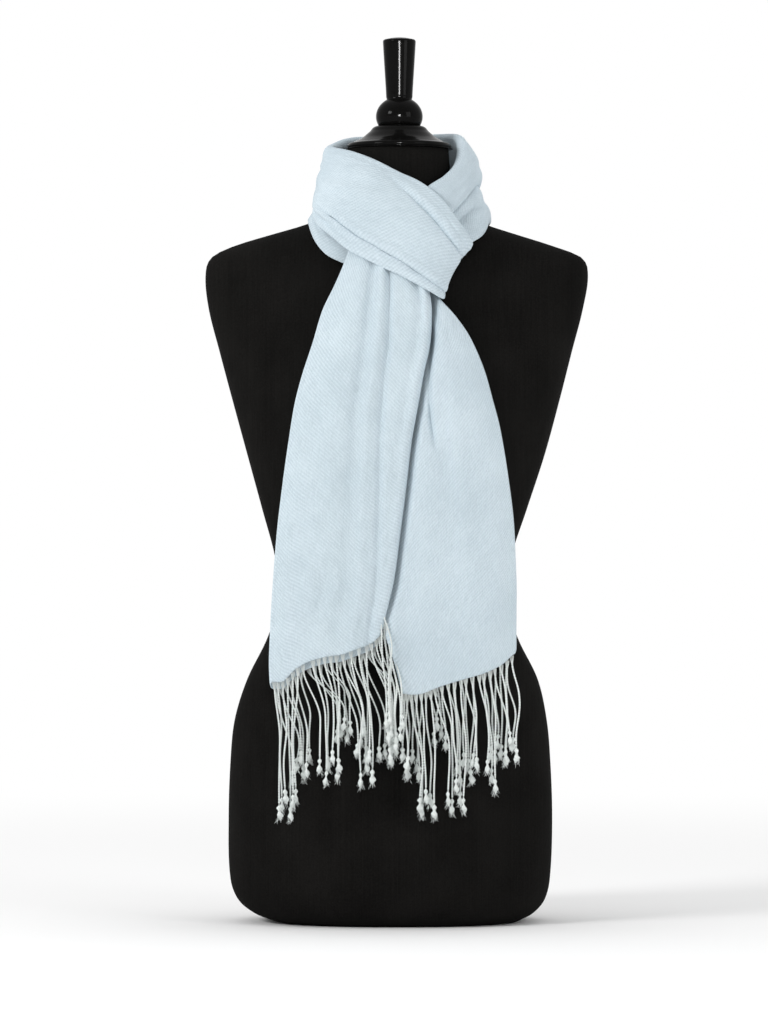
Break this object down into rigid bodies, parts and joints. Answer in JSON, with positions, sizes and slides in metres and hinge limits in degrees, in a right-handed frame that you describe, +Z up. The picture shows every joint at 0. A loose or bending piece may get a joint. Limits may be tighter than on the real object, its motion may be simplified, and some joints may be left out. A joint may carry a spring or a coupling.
{
  "type": "pashmina shawl looped on a limbless dress form",
  "caption": "Pale blue pashmina shawl with knotted fringe, folded, doubled and looped round the neck of a black tabletop dress form with a turned finial.",
  "frame": {"origin": "on the flat underside of the dress form, on the floor, below the form's neck", "axes": "+Z up, the shawl's tails hang on the -Y side, which is the front, and +X is to the right of someone who looks at the front"},
  "size_m": [0.39, 0.2611, 0.9013],
  "materials": {
    "cloth": "matte",
    "fringe": "matte",
    "jersey": "matte",
    "lacquer": "gloss"
  },
  "bodies": {
    "root": {"form_torso": "jersey", "neck_cap": "lacquer", "finial": "lacquer", "wrap_upper": "cloth", "wrap_lower": "cloth", "tail_left": "cloth", "tail_right": "cloth", "fringe_left_front": "fringe", "fringe_left_back": "fringe", "fringe_right_front": "fringe", "fringe_right_back": "fringe"}
  },
  "joints": []
}
